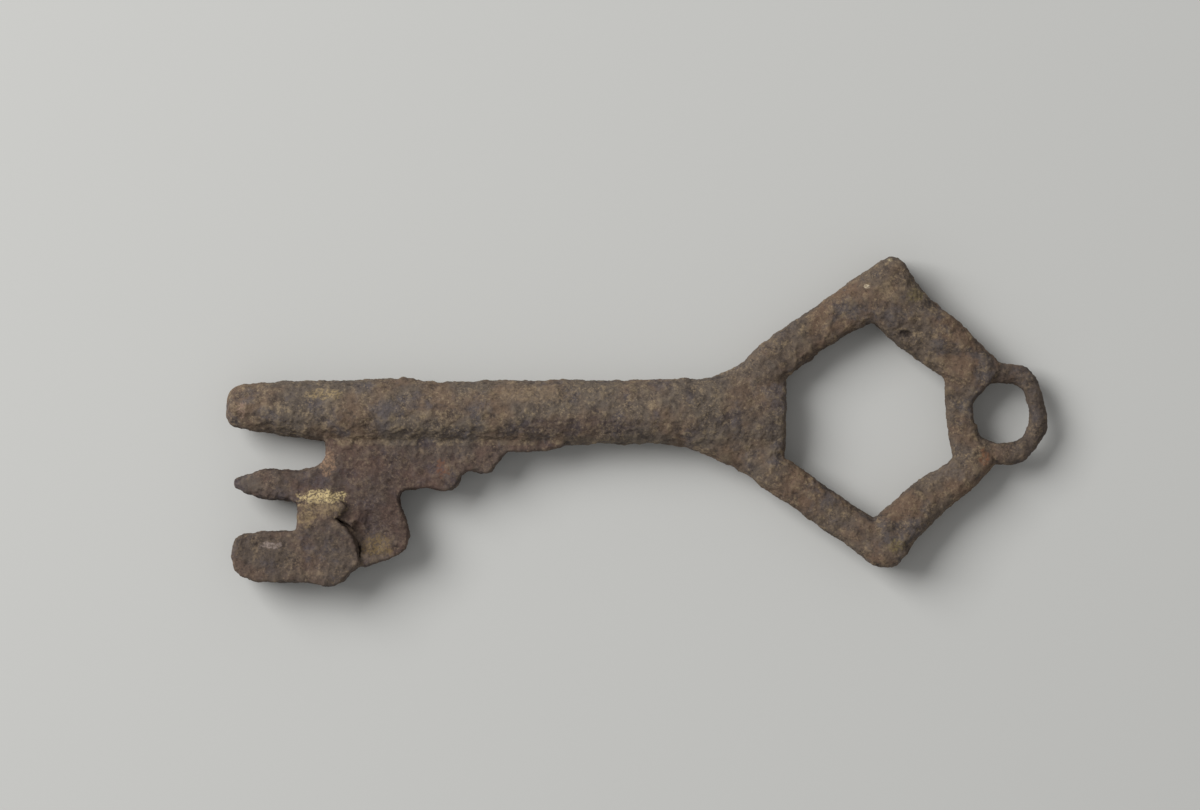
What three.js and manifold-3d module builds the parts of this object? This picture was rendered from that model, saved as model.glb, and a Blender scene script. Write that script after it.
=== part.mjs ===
// A forged iron key with a round shank, a three-pronged bit, a lozenge bow and a hanging loop.
// Millimetres. X runs from the shank's tip to the loop, Y away from the bit, Z up from the ground.
import * as THREE from 'three';
import { LoftGeometry } from 'three/addons/geometries/LoftGeometry.js';
import { mergeVertices } from 'three/addons/utils/BufferGeometryUtils.js';
import Module from 'manifold-3d';

const wasm = await Module();
wasm.setup();

// Fits
const weldGap = 0.3;

// Shank
const shankLength = 95;
const shankDiameter = 10.8;
const shankTipDiameter = 7.7;
const shankTaperLength = 34;
const tipDrop = 0.5;
const tipRounding = 2.4;
const shankBellyFlat = 0.25;

// Web, where the shank spreads to carry the two arms of the bow
const webUpperCover = 1.9;
const webLowerCover = 2.9;
const webThickness = 8;
const upperFlareLength = 15;
const lowerFlareLength = 21;

// Bow opening, a hexagon: the arms rise from the web to an apex, the sides fall to the back bar
const mouthUpperHeight = 6.6;
const mouthLowerHeight = 8;
const armRun = 14.9;
const apexLag = 0.5;
const upperArmRise = 8.6;
const lowerArmRise = 9.8;
const sideRun = 12.9;
const backLag = 0.6;
const upperSideFall = 9.4;
const lowerSideFall = 10.1;

// Widths of the bow's bars in plan: at the start, in the middle and at the end
const upperArmWidths = [6.2, 6.8, 8];
const lowerArmWidths = [6.2, 5.6, 6.4];
const upperSideWidths = [10.2, 9.2, 8.4];
const lowerSideWidths = [7.8, 6.8, 6.2];
const backBarWidth = 4.3;

// Thicknesses of the bow
const cornerThickness = 8.8;
const cornerFlat = 0.2;
const armThickness = 6.3;
const armRootThickness = 7.4;
const sideThickness = 6.6;
const backBarThickness = 4.8;
const armRootLap = 6.4;
const backBarLap = 2.6;
const barEndRounding = 1.4;
const cornerTrim = 0.7;

// Hanging loop
const loopHoleLength = 9.9;
const loopHoleMargin = 1.5;
const loopHoleRise = 0.65;
const loopHoleOverlap = 0.3;
const loopBarWidth = 2.9;
const loopFootWidth = 3.7;
const loopBarThickness = 3;
const loopFootDepth = 3.4;
const loopFootCover = 1.3;
const loopSwellStart = 0.6;
const loopSwellEnd = 0.9;
const sideEndTrim = 1.4;

// Bit plate, its steps stacked along the shank from the end of the upper cleft
const plateThickness = 5;
const plateRounding = 0.5;
const rootCover = 4.8;
const cleftFillet = 2.3;
const upperCleftEnd = 16.8;
const upperCleftHeight = 6.1;
const middleProngHeight = 5.3;
const middleProngTip = 1.4;
const middleProngPoint = 5.6;
const middleProngTipHeight = 1.4;
const cleftStagger = 4.7;
const lowerCleftHeight = 5.3;
const plateLength = 14.6;
const firstStepLength = 8.2;
const secondStepLength = 6.7;
const tailLength = 10.8;
const tailHeight = 0.5;
const thirdStepHeight = 1;
const secondStepHeight = 3.3;
const firstStepHeight = 3;
const lobeHeight = 11;
const lobeWaist = 2.2;
const lobeWaistHeight = 3;
const lobeCornerHeight = 2.6;

// Bit foot, the thick block with the lower prong
const footThickness = 6.6;
const footTip = 1.1;
const footHeight = 8.7;
const footUpperCut = 0.9;
const footLowerCut = 2.8;
const footInset = 0.5;
const tongueLength = 8.2;
const tongueTop = 1.7;
const heelLength = 2.3;
const seamNotch = 2.1;

// Smoothness of the round forms
const sectionPoints = 24;
const roundSection = 2;
const barSection = 2.7;
const stationsPerBar = 8;
const loopStations = 22;
const filletSteps = 5;
const endSteps = 3;
const sharpestMitre = 0.4;

// Heights that the pieces share, and the reach of the cutting shapes, well past the key
const shankHeight = shankDiameter / 2 - shankBellyFlat;
const bowHeight = cornerThickness / 2 - cornerFlat;
const tall = 4 * shankDiameter;

// Finish
const ironMetalness = 0.3;
const rust = 0x55463c;
const darkRust = 0x4a3d35;
const redRust = 0x5a4438;
const dryRust = 0x605044;

// Turns a closed geometry into a solid for joining and cutting.
function solidOf(geometry) {
	const bare = new THREE.BufferGeometry().copy(geometry);
	bare.deleteAttribute('normal');
	bare.deleteAttribute('uv');
	const merged = mergeVertices(bare, 1e-4);
	return new wasm.Manifold(new wasm.Mesh({
		numProp: 3,
		vertProperties: new Float32Array(merged.attributes.position.array),
		triVerts: new Uint32Array(merged.index.array),
	}));
}

// Turns a solid back into a named mesh of its own material.
function meshOf(name, solid, color, roughness) {
	const cut = solid.getMesh();
	const geometry = new THREE.BufferGeometry();
	const positions = new Float32Array(cut.vertProperties);
	geometry.setAttribute('position', new THREE.BufferAttribute(positions, 3));
	geometry.setIndex(new THREE.BufferAttribute(new Uint32Array(cut.triVerts), 1));
	geometry.computeVertexNormals();
	const material = new THREE.MeshStandardMaterial({ color, roughness, metalness: ironMetalness });
	const mesh = new THREE.Mesh(geometry, material);
	mesh.name = name;
	return mesh;
}

// An upright prism over a plan outline.
function prism(outline, low, high) {
	const shape = new THREE.Shape(outline);
	const geometry = new THREE.ExtrudeGeometry(shape, { depth: high - low, bevelEnabled: false });
	geometry.translate(0, 0, low);
	return solidOf(geometry);
}

// A plate over a plan outline, its edges rounded inwards.
function plate(outline, low, high, rounding) {
	const shape = new THREE.Shape(outline);
	const geometry = new THREE.ExtrudeGeometry(shape, {
		depth: high - low - 2 * rounding,
		bevelEnabled: true,
		bevelThickness: rounding,
		bevelSize: rounding,
		bevelOffset: -rounding,
		bevelSegments: 2,
	});
	geometry.translate(0, 0, low + rounding);
	return solidOf(geometry);
}

// Moves every edge of a plan outline outwards by the same distance.
function grown(outline, distance) {
	const turn = THREE.ShapeUtils.isClockWise(outline) ? 1 : -1;
	return outline.map((point, index) => {
		const before = outline[(index + outline.length - 1) % outline.length];
		const after = outline[(index + 1) % outline.length];
		const arriving = point.clone().sub(before).normalize();
		const leaving = after.clone().sub(point).normalize();
		const first = new THREE.Vector2(-arriving.y, arriving.x).multiplyScalar(turn);
		const second = new THREE.Vector2(-leaving.y, leaving.x).multiplyScalar(turn);
		const mitre = first.add(second).normalize();
		const spread = Math.max(sharpestMitre, mitre.dot(second));
		return point.clone().addScaledVector(mitre, distance / spread);
	});
}

// One cross-section of a bar: an ellipse, or a squarer form where the station's power is larger.
function section(station, along) {
	const points = [];
	const across = new THREE.Vector3(-along.y, along.x, 0);
	for (let index = 0; index < sectionPoints; index++) {
		const angle = (index / sectionPoints) * 2 * Math.PI;
		const cosine = Math.cos(angle);
		const sine = Math.sin(angle);
		const side = Math.sign(cosine) * Math.abs(cosine) ** (2 / station.power) * station.width / 2;
		const rise = Math.sign(sine) * Math.abs(sine) ** (2 / station.power) * station.thickness / 2;
		const point = station.centre.clone().addScaledVector(across, side);
		point.z += rise;
		points.push(point);
	}
	return points;
}

// The direction of a bar at one of its stations.
function directionAt(stations, index) {
	const before = stations[Math.max(index - 1, 0)].centre;
	const after = stations[Math.min(index + 1, stations.length - 1)].centre;
	const along = after.clone().sub(before);
	along.z = 0;
	return along.normalize();
}

// A solid bar drawn out through its stations.
function drawnBar(stations) {
	const rings = stations.map((station, index) => section(station, directionAt(stations, index)));
	return solidOf(new LoftGeometry(rings, { capStart: true, capEnd: true }));
}

// The plan outline of a bar.
function planOf(stations) {
	const left = [];
	const right = [];
	stations.forEach((station, index) => {
		const along = directionAt(stations, index);
		const across = new THREE.Vector2(-along.y, along.x);
		const centre = new THREE.Vector2(station.centre.x, station.centre.y);
		left.push(centre.clone().addScaledVector(across, station.width / 2));
		right.unshift(centre.clone().addScaledVector(across, -station.width / 2));
	});
	return left.concat(right);
}

// Reads a value that is given at the start, in the middle and at the end of a bar.
function alongBar(values, share) {
	const [start, middle, end] = values;
	const held = Math.min(Math.max(share, 0), 1);
	if (held < 0.5) {
		return THREE.MathUtils.lerp(start, middle, THREE.MathUtils.smoothstep(held, 0, 0.5));
	}
	return THREE.MathUtils.lerp(middle, end, THREE.MathUtils.smoothstep(held, 0.5, 1));
}

// Stations of a straight bar whose inner edge runs from one corner of an opening to the next.
// It passes the first corner by startLap and the second by endLap, and lies outside that edge.
function barBeside(from, to, bar) {
	const edge = to.clone().sub(from);
	const length = edge.length();
	const along = edge.normalize();
	const outward = new THREE.Vector2(-along.y, along.x).multiplyScalar(bar.outwardTurn);
	const low = -bar.startLap;
	const high = length + bar.endLap;
	const firstFull = low + barEndRounding;
	const lastFull = high - barEndRounding;
	const places = [];
	for (let step = 0; step < endSteps; step++) {
		const angle = (step / endSteps) * Math.PI / 2;
		const inset = barEndRounding * (1 - Math.sin(angle));
		const setBack = barEndRounding * (1 - Math.cos(angle));
		places.push({ place: low + setBack, inset });
		places.push({ place: high - setBack, inset });
	}
	for (let index = 0; index <= stationsPerBar; index++) {
		const place = THREE.MathUtils.lerp(firstFull, lastFull, index / stationsPerBar);
		places.push({ place, inset: 0 });
	}
	places.sort((first, second) => first.place - second.place);
	return places.map(({ place, inset }) => {
		const share = place / length;
		const width = alongBar(bar.widths, share);
		const middle = from.clone().addScaledVector(along, place).addScaledVector(outward, width / 2);
		return {
			centre: new THREE.Vector3(middle.x, middle.y, bowHeight),
			width: width - 2 * inset,
			thickness: alongBar(bar.thicknesses, share) - 2 * inset,
			power: barSection,
		};
	});
}

// Laps two bars: one keeps its upper half where they cross, the other its lower half.
function lap(upper, lower, upperPlan, lowerPlan, height) {
	return {
		upper: upper.subtract(prism(grown(lowerPlan, weldGap), -tall, height + weldGap / 2)),
		lower: lower.subtract(prism(grown(upperPlan, weldGap), height - weldGap / 2, tall)),
	};
}

// How far an arm runs past an inner corner to reach the far edge of the side that it meets there.
function lapOver(before, corner, after, sideWidth) {
	const arriving = corner.clone().sub(before).normalize();
	const leaving = after.clone().sub(corner).normalize();
	return sideWidth / Math.abs(arriving.cross(leaving)) - cornerTrim;
}

// How far a side runs back under the arm, so that its outer corner stays under the arm's edge.
function lapUnder(before, corner, after, armWidth, sideWidth) {
	const arriving = corner.clone().sub(before).normalize();
	const leaving = after.clone().sub(corner).normalize();
	const turned = Math.abs(arriving.cross(leaving));
	return (armWidth - cornerTrim - sideWidth * arriving.dot(leaving)) / turned;
}

// How far one edge of the shank lies from its axis, which grows to the web's edge.
function flare(place, flareLength, webEdge) {
	const flareEnd = shankLength - tipRounding;
	const share = THREE.MathUtils.smoothstep(place, shankLength - flareLength, flareEnd);
	return THREE.MathUtils.lerp(shankDiameter / 2, webEdge, share);
}

// The shank thickens from its tip, stays round, and spreads into the flat web.
function shankStation(place, inset) {
	const taper = Math.sin(Math.min(place / shankTaperLength, 1) * Math.PI / 2);
	const diameter = THREE.MathUtils.lerp(shankTipDiameter, shankDiameter, taper);
	const upperDrop = THREE.MathUtils.lerp(tipDrop, 0, taper);
	const lowerDrop = shankDiameter - diameter - upperDrop;
	const upper = flare(place, upperFlareLength, mouthUpperHeight + webUpperCover) - upperDrop;
	const lower = flare(place, lowerFlareLength, mouthLowerHeight + webLowerCover) - lowerDrop;
	const spread = THREE.MathUtils.smoothstep(place, shankLength - lowerFlareLength, shankLength);
	const thickness = THREE.MathUtils.lerp(diameter, webThickness, spread);
	const height = THREE.MathUtils.lerp(shankHeight, bowHeight, spread);
	return {
		centre: new THREE.Vector3(place, (upper - lower) / 2, height),
		width: upper + lower - 2 * inset,
		thickness: thickness - 2 * inset,
		power: THREE.MathUtils.lerp(roundSection, barSection, spread),
	};
}

function shankStations() {
	const stations = [];
	for (let step = 0; step < filletSteps; step++) {
		const angle = (step / filletSteps) * Math.PI / 2;
		const inset = tipRounding * (1 - Math.sin(angle));
		stations.push(shankStation(tipRounding * (1 - Math.cos(angle)), inset));
	}
	const straight = shankLength - lowerFlareLength;
	for (let step = 0; step < stationsPerBar; step++) {
		stations.push(shankStation(THREE.MathUtils.lerp(tipRounding, straight, step / stationsPerBar), 0));
	}
	for (let step = 0; step <= stationsPerBar; step++) {
		stations.push(shankStation(THREE.MathUtils.lerp(straight, shankLength, step / stationsPerBar), 0));
	}
	return stations;
}

// Corners of the bow opening
const mouthUpper = new THREE.Vector2(shankLength, mouthUpperHeight);
const mouthLower = new THREE.Vector2(shankLength, -mouthLowerHeight);
const apexUpper = new THREE.Vector2(mouthUpper.x + armRun, mouthUpper.y + upperArmRise);
const apexLower = new THREE.Vector2(apexUpper.x + apexLag, mouthLower.y - lowerArmRise);
const backUpper = new THREE.Vector2(apexUpper.x + sideRun, apexUpper.y - upperSideFall);
const backLower = new THREE.Vector2(apexLower.x + sideRun + backLag, apexLower.y + lowerSideFall);

// Hole and bar of the hanging loop
const backMiddle = backUpper.clone().add(backLower).multiplyScalar(0.5);
const loopHoleHeight = backUpper.y - backLower.y - 2 * loopHoleMargin;
const loopCentre = new THREE.Vector2(
	backMiddle.x + backBarWidth - loopHoleOverlap + loopHoleLength / 2,
	backMiddle.y + loopHoleRise,
);
const loopReach = (loopHoleLength + loopBarWidth) / 2;
const loopRise = (loopHoleHeight + loopBarWidth) / 2;
const loopTop = new THREE.Vector2(loopCentre.x, loopCentre.y + loopRise);
const loopFoot = new THREE.Vector2(loopCentre.x, loopCentre.y - loopRise);

// How far a side runs past the back corner to take the foot of the loop.
function reachTo(foot, from, corner) {
	const along = corner.clone().sub(from).normalize();
	return foot.clone().sub(corner).dot(along) - sideEndTrim;
}

// Bars of the bow
const sideEndThickness = loopBarThickness + 2 * loopFootCover;
const armThicknesses = [armRootThickness, armThickness, cornerThickness];
const sideThicknesses = [cornerThickness, sideThickness, sideEndThickness];

const upperArm = barBeside(mouthUpper, apexUpper, {
	outwardTurn: 1,
	widths: upperArmWidths,
	thicknesses: armThicknesses,
	startLap: armRootLap,
	endLap: lapOver(mouthUpper, apexUpper, backUpper, upperSideWidths[0]),
});

const lowerArm = barBeside(mouthLower, apexLower, {
	outwardTurn: -1,
	widths: lowerArmWidths,
	thicknesses: armThicknesses,
	startLap: armRootLap,
	endLap: lapOver(mouthLower, apexLower, backLower, lowerSideWidths[0]),
});

const upperSide = barBeside(apexUpper, backUpper, {
	outwardTurn: 1,
	widths: upperSideWidths,
	thicknesses: sideThicknesses,
	startLap: lapUnder(mouthUpper, apexUpper, backUpper, upperArmWidths[2], upperSideWidths[0]),
	endLap: reachTo(loopTop, apexUpper, backUpper),
});

const lowerSide = barBeside(apexLower, backLower, {
	outwardTurn: -1,
	widths: lowerSideWidths,
	thicknesses: sideThicknesses,
	startLap: lapUnder(mouthLower, apexLower, backLower, lowerArmWidths[2], lowerSideWidths[0]),
	endLap: reachTo(loopFoot, apexLower, backLower),
});

const backBar = barBeside(backUpper, backLower, {
	outwardTurn: 1,
	widths: [backBarWidth, backBarWidth, backBarWidth],
	thicknesses: [backBarThickness, backBarThickness, backBarThickness],
	startLap: backBarLap,
	endLap: backBarLap,
});

// Hanging loop, bent round the hole from the upper side's end to the lower side's end
function loopBar() {
	const stations = [];
	const start = Math.PI / 2 + loopFootDepth / loopRise;
	for (let step = 0; step <= loopStations; step++) {
		const share = step / loopStations;
		const angle = THREE.MathUtils.lerp(start, -start, share);
		const swell = THREE.MathUtils.smoothstep(share, loopSwellStart, loopSwellEnd);
		const width = THREE.MathUtils.lerp(loopBarWidth, loopFootWidth, swell);
		const outwards = (width - loopBarWidth) / 2;
		stations.push({
			centre: new THREE.Vector3(
				loopCentre.x + (loopReach + outwards) * Math.cos(angle),
				loopCentre.y + (loopRise + outwards) * Math.sin(angle),
				bowHeight,
			),
			width,
			thickness: loopBarThickness,
			power: roundSection,
		});
	}
	return stations;
}

// The round hole between the two side ends, which the loop closes.
function loopHole() {
	const geometry = new THREE.CylinderGeometry(0.5, 0.5, 2 * tall, 2 * sectionPoints);
	geometry.rotateX(Math.PI / 2);
	geometry.scale(loopHoleLength, loopHoleHeight, 1);
	geometry.translate(loopCentre.x, loopCentre.y, 0);
	return solidOf(geometry);
}

// Bit: heights of its clefts and prongs, stacked down from the shank's underside
const overCleft = shankStation(upperCleftEnd / 2, 0);
const cleftTop = overCleft.centre.y - overCleft.width / 2;
const middleProngTop = cleftTop - upperCleftHeight;
const middleProngBottom = middleProngTop - middleProngHeight;
const lowerCleftEnd = upperCleftEnd - cleftStagger;
const tongueReach = lowerCleftEnd + tongueLength;
const footReach = tongueReach + heelLength;
const footTop = middleProngBottom - lowerCleftHeight;
const footBottom = footTop - footHeight;
const shankEdge = -shankDiameter / 2;
const rootTop = shankDiameter / 2 - rootCover;
const tailEnd = upperCleftEnd + plateLength + firstStepLength + secondStepLength + tailLength;

// The bit plate: its root in the shank, the middle prong, the stepped edge and the lobe.
function plateOutline() {
	const outline = [];
	const point = (x, y) => outline.push(new THREE.Vector2(x, y));
	const prongMiddle = (middleProngTop + middleProngBottom) / 2;
	const plateReach = upperCleftEnd + plateLength;
	const tailEdge = shankEdge - tailHeight;
	const thirdEdge = tailEdge - thirdStepHeight;
	const secondEdge = thirdEdge - secondStepHeight;
	const firstEdge = secondEdge - firstStepHeight;
	const lobeEdge = firstEdge - lobeHeight;
	point(upperCleftEnd, rootTop);
	point(upperCleftEnd, middleProngTop + cleftFillet);
	for (let step = 1; step < filletSteps; step++) {
		const angle = (step / filletSteps) * Math.PI / 2;
		point(
			upperCleftEnd - cleftFillet * (1 - Math.cos(angle)),
			middleProngTop + cleftFillet * (1 - Math.sin(angle)),
		);
	}
	point(upperCleftEnd - cleftFillet, middleProngTop);
	point(middleProngTip + middleProngPoint, middleProngTop);
	point(middleProngTip, prongMiddle + middleProngTipHeight / 2);
	point(middleProngTip, prongMiddle - middleProngTipHeight / 2);
	point(middleProngTip + middleProngPoint, middleProngBottom);
	point(lowerCleftEnd, middleProngBottom);
	point(lowerCleftEnd, footBottom + footInset);
	point(footReach - footLowerCut, footBottom + footInset);
	point(plateReach - lobeCornerHeight, lobeEdge);
	point(plateReach, lobeEdge + lobeCornerHeight);
	point(plateReach - lobeWaist, firstEdge - lobeWaistHeight);
	point(plateReach - lobeWaist, firstEdge - lobeWaistHeight / 2);
	point(plateReach, firstEdge);
	point(plateReach + firstStepLength, firstEdge);
	point(plateReach + firstStepLength, secondEdge);
	point(plateReach + firstStepLength + secondStepLength, secondEdge);
	point(plateReach + firstStepLength + secondStepLength, thirdEdge);
	point(tailEnd, tailEdge);
	point(tailEnd, rootTop);
	return outline;
}

// The bit foot: the lower prong and the tongue that laps over the plate as far as the seam.
function footOutline() {
	const outline = [];
	const point = (x, y) => outline.push(new THREE.Vector2(x, y));
	const tongueHeight = middleProngBottom + tongueTop;
	point(lowerCleftEnd, tongueHeight);
	point(lowerCleftEnd, footTop);
	point(footTip + footUpperCut, footTop);
	point(footTip, footTop - footUpperCut);
	point(footTip, footBottom + footLowerCut);
	point(footTip + footLowerCut / 3, footBottom + footLowerCut / 3);
	point(footTip + footLowerCut, footBottom);
	point(tongueReach, footBottom);
	point(footReach, footBottom + footLowerCut);
	point(footReach, footTop);
	point(tongueReach, footTop + seamNotch);
	point(tongueReach - seamNotch, footTop + seamNotch);
	point(tongueReach, footTop + 2 * seamNotch);
	point(tongueReach, tongueHeight);
	return outline;
}

// The slot that takes the bit's root, open on the bit side of the shank.
function rootSlot() {
	const outline = [
		new THREE.Vector2(upperCleftEnd - weldGap, rootTop + weldGap),
		new THREE.Vector2(upperCleftEnd - weldGap, shankEdge - tall),
		new THREE.Vector2(tailEnd + weldGap, shankEdge - tall),
		new THREE.Vector2(tailEnd + weldGap, rootTop + weldGap),
	];
	const halfHeight = plateThickness / 2 + weldGap;
	return prism(outline, shankHeight - halfHeight, shankHeight + halfHeight);
}

// Everything below the ground is taken off, which leaves the flats that the key lies on.
function trimmed(solid) {
	const size = 3 * (apexUpper.x + sideRun);
	const ground = new THREE.BoxGeometry(size, size, tall);
	ground.translate(shankLength, 0, -tall / 2);
	return solid.subtract(solidOf(ground));
}

// Blanks
const shankBar = shankStations();
const loopStationList = loopBar();
const loopPlan = planOf(loopStationList);
const plans = {
	shank: planOf(shankBar),
	upperArm: planOf(upperArm),
	lowerArm: planOf(lowerArm),
	upperSide: planOf(upperSide),
	lowerSide: planOf(lowerSide),
	backBar: planOf(backBar),
};
const hole = loopHole();
const loopSocket = prism(
	grown(loopPlan, weldGap),
	bowHeight - loopBarThickness / 2 - weldGap,
	bowHeight + loopBarThickness / 2 + weldGap,
);

// Laps at the web: the web keeps its upper half over the roots of both arms
let shankSolid = drawnBar(shankBar).subtract(rootSlot());
let upperArmSolid = drawnBar(upperArm);
let lowerArmSolid = drawnBar(lowerArm);
const upperRoot = lap(shankSolid, upperArmSolid, plans.shank, plans.upperArm, bowHeight);
const lowerRoot = lap(upperRoot.upper, lowerArmSolid, plans.shank, plans.lowerArm, bowHeight);
shankSolid = lowerRoot.upper;

// Laps at the corners: each arm lies over the side that it meets
let upperSideSolid = drawnBar(upperSide);
let lowerSideSolid = drawnBar(lowerSide);
const upperCorner = lap(upperRoot.lower, upperSideSolid, plans.upperArm, plans.upperSide, bowHeight);
const lowerCorner = lap(lowerRoot.lower, lowerSideSolid, plans.lowerArm, plans.lowerSide, bowHeight);
upperArmSolid = upperCorner.upper;
lowerArmSolid = lowerCorner.upper;

// Laps at the back: both sides lie over the back bar
const barBlank = drawnBar(backBar);
const upperBack = lap(upperCorner.lower, barBlank, plans.upperSide, plans.backBar, bowHeight);
const lowerBack = lap(lowerCorner.lower, upperBack.lower, plans.lowerSide, plans.backBar, bowHeight);
upperSideSolid = upperBack.upper.subtract(hole).subtract(loopSocket);
lowerSideSolid = lowerBack.upper.subtract(hole).subtract(loopSocket);
const backBarSolid = lowerBack.lower.subtract(hole);

// Bit: the foot's tongue laps over the front half of the plate
const plateLow = shankHeight - plateThickness / 2;
const plateBlank = plate(plateOutline(), plateLow, plateLow + plateThickness, plateRounding);
const footBlank = plate(footOutline(), plateLow, plateLow + footThickness, plateRounding);
const bit = lap(footBlank, plateBlank, footOutline(), plateOutline(), shankHeight);

const key = new THREE.Group();
key.add(meshOf('shank', trimmed(shankSolid), rust, 0.9));
key.add(meshOf('bow_upper_arm', trimmed(upperArmSolid), dryRust, 0.9));
key.add(meshOf('bow_lower_arm', trimmed(lowerArmSolid), rust, 0.92));
key.add(meshOf('bow_upper_side', trimmed(upperSideSolid), redRust, 0.92));
key.add(meshOf('bow_lower_side', trimmed(lowerSideSolid), darkRust, 0.92));
key.add(meshOf('bow_back_bar', trimmed(backBarSolid), rust, 0.94));
key.add(meshOf('hanging_loop', drawnBar(loopStationList), dryRust, 0.94));
key.add(meshOf('bit_plate', bit.lower, redRust, 0.9));
key.add(meshOf('bit_foot', bit.upper, darkRust, 0.93));

// The origin goes to the middle of the plan, on the ground
const box = new THREE.Box3().setFromObject(key);
const middle = box.getCenter(new THREE.Vector3());
key.position.set(-middle.x, -middle.y, -box.min.z);

export default key;
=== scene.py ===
"""A forged iron key, long buried: its corroded skin, crust and colours, on a pale studio floor.

The bars and plates of the key are drawn one by one, welded into one skin, worn and roughened,
and then parted again along the smith's laps, so that every piece keeps its own closed body.
Sizes are in millimetres, from the tip of the shank and from its middle line. Places in the
frame are in metres.
"""

import logging
import math
from contextlib import contextmanager
from dataclasses import dataclass
from enum import Enum
from typing import Iterator, Sequence

import bmesh
import bpy
import numpy as np
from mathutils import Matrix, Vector, kdtree


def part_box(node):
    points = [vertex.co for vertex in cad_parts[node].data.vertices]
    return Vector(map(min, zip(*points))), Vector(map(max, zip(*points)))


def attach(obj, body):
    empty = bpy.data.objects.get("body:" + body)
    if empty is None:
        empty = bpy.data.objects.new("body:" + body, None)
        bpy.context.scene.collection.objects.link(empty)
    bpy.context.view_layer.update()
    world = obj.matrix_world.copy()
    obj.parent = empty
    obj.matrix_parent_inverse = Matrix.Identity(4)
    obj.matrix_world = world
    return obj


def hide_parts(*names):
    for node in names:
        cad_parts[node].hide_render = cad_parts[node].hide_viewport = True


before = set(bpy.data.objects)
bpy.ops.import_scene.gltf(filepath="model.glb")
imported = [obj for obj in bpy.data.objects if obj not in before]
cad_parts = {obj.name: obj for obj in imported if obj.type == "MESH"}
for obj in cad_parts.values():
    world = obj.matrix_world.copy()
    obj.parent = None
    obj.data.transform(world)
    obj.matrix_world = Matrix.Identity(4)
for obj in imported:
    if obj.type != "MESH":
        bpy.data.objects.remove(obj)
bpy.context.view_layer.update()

log = logging.getLogger("iron_key")

MM = 0.001
GROUND = 0.0
BOW_HEIGHT = 4.2
SHANK_HEIGHT = 5.15
WEB_LOWER_EDGE = 10.88
FAR = 40.0

RING_CORNERS = 28
CORNER_SHARE = 0.3
CORNER_STEPS = 5
EGG_STEPS = 4

Point = tuple[float, float]
Place = tuple[float, float, float]
Colour = tuple[float, float, float]


class Section(Enum):
    """The cross-section that a bar is drawn with."""

    ROUND = "round"
    SQUARE = "square"


class Cut(Enum):
    """How one solid works on another."""

    JOIN = "UNION"
    KEEP_INSIDE = "INTERSECT"
    TAKE_AWAY = "DIFFERENCE"


@dataclass(frozen=True)
class Layout:
    """Where the tip and the middle line of the shank lie in the frame, in millimetres."""

    tip: float
    axis: float

    @classmethod
    def from_frame(cls) -> "Layout":
        """Reads both lines from the shank's box."""
        low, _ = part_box("shank")
        return cls(tip=low.x / MM, axis=low.y / MM + WEB_LOWER_EDGE)

    def place(self, x: float, y: float, z: float = 0.0) -> Vector:
        """Turns a place on the key into metres in the frame."""
        return Vector((x + self.tip, y + self.axis, z)) * MM


LAYOUT = Layout.from_frame()


@dataclass(frozen=True)
class Station:
    """One cross-section of a bar: its two edges in plan, its thickness and its height."""

    left: Point
    right: Point
    thickness: float
    height: float = BOW_HEIGHT

    @property
    def centre(self) -> Vector:
        """The middle of the cross-section, in metres in the frame."""
        (left_x, left_y), (right_x, right_y) = self.left, self.right
        return LAYOUT.place((left_x + right_x) / 2, (left_y + right_y) / 2, self.height)

    @property
    def width(self) -> float:
        """The distance between the two edges, in millimetres."""
        return math.dist(self.left, self.right)

    @property
    def heading(self) -> float:
        """The direction in which the bar runs on, in radians from the frame's X."""
        across_x, across_y = self.left[0] - self.right[0], self.left[1] - self.right[1]
        return math.atan2(-across_x, across_y)


@dataclass(frozen=True)
class Slab:
    """An upright block over a plan outline, between two heights."""

    outline: Sequence[Point]
    low: float = -FAR
    high: float = FAR


@dataclass(frozen=True)
class Egg:
    """An egg-shaped body, for a lump that stands on the iron or a hollow worn into it.

    It is turned in plan, in degrees against the clock.
    """

    name: str
    centre: Place
    radii: Place
    turn: float = 0.0


@dataclass(frozen=True)
class PieceOfIron:
    """One named piece: the solid that it stands for, its slot and where it is parted.

    The piece without slabs is what all the others leave.
    """

    node: str
    slot: str
    slabs: Sequence[Slab] = ()


def select_only(*pieces: bpy.types.Object) -> None:
    """Selects these pieces alone and makes the first one active.

    Args:
        *pieces: The objects to select.
    """
    bpy.ops.object.select_all(action="DESELECT")
    for piece in pieces:
        piece.select_set(True)
    bpy.context.view_layer.objects.active = pieces[0]


@contextmanager
def editing(piece: bpy.types.Object) -> Iterator[bmesh.types.BMesh]:
    """Opens a piece in edit mode with nothing selected, and closes it again.

    Args:
        piece: The mesh object to work on.

    Yields:
        The mesh under edit, for selecting corners by their place.
    """
    select_only(piece)
    bpy.ops.object.mode_set(mode="EDIT")
    bpy.ops.mesh.select_all(action="DESELECT")
    yield bmesh.from_edit_mesh(piece.data)
    bpy.ops.object.mode_set(mode="OBJECT")


def apply_modifier(piece: bpy.types.Object, kind: str, **settings: object) -> None:
    """Adds one modifier to a piece and applies it.

    Args:
        piece: The mesh object to change.
        kind: The modifier's type.
        **settings: Values of the modifier's own properties.
    """
    select_only(piece)
    modifier = piece.modifiers.new(kind.lower(), kind)
    for name, value in settings.items():
        setattr(modifier, name, value)
    bpy.ops.object.modifier_apply(modifier=modifier.name)


def cut(piece: bpy.types.Object, tool: bpy.types.Object, how: Cut) -> None:
    """Joins a tool to a piece, or keeps or takes away the part of the piece inside it."""
    apply_modifier(piece, "BOOLEAN", operation=how.value, object=tool, solver="MANIFOLD")


def remove(piece: bpy.types.Object) -> None:
    """Deletes a helper object with its mesh."""
    bpy.data.meshes.remove(piece.data)


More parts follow.
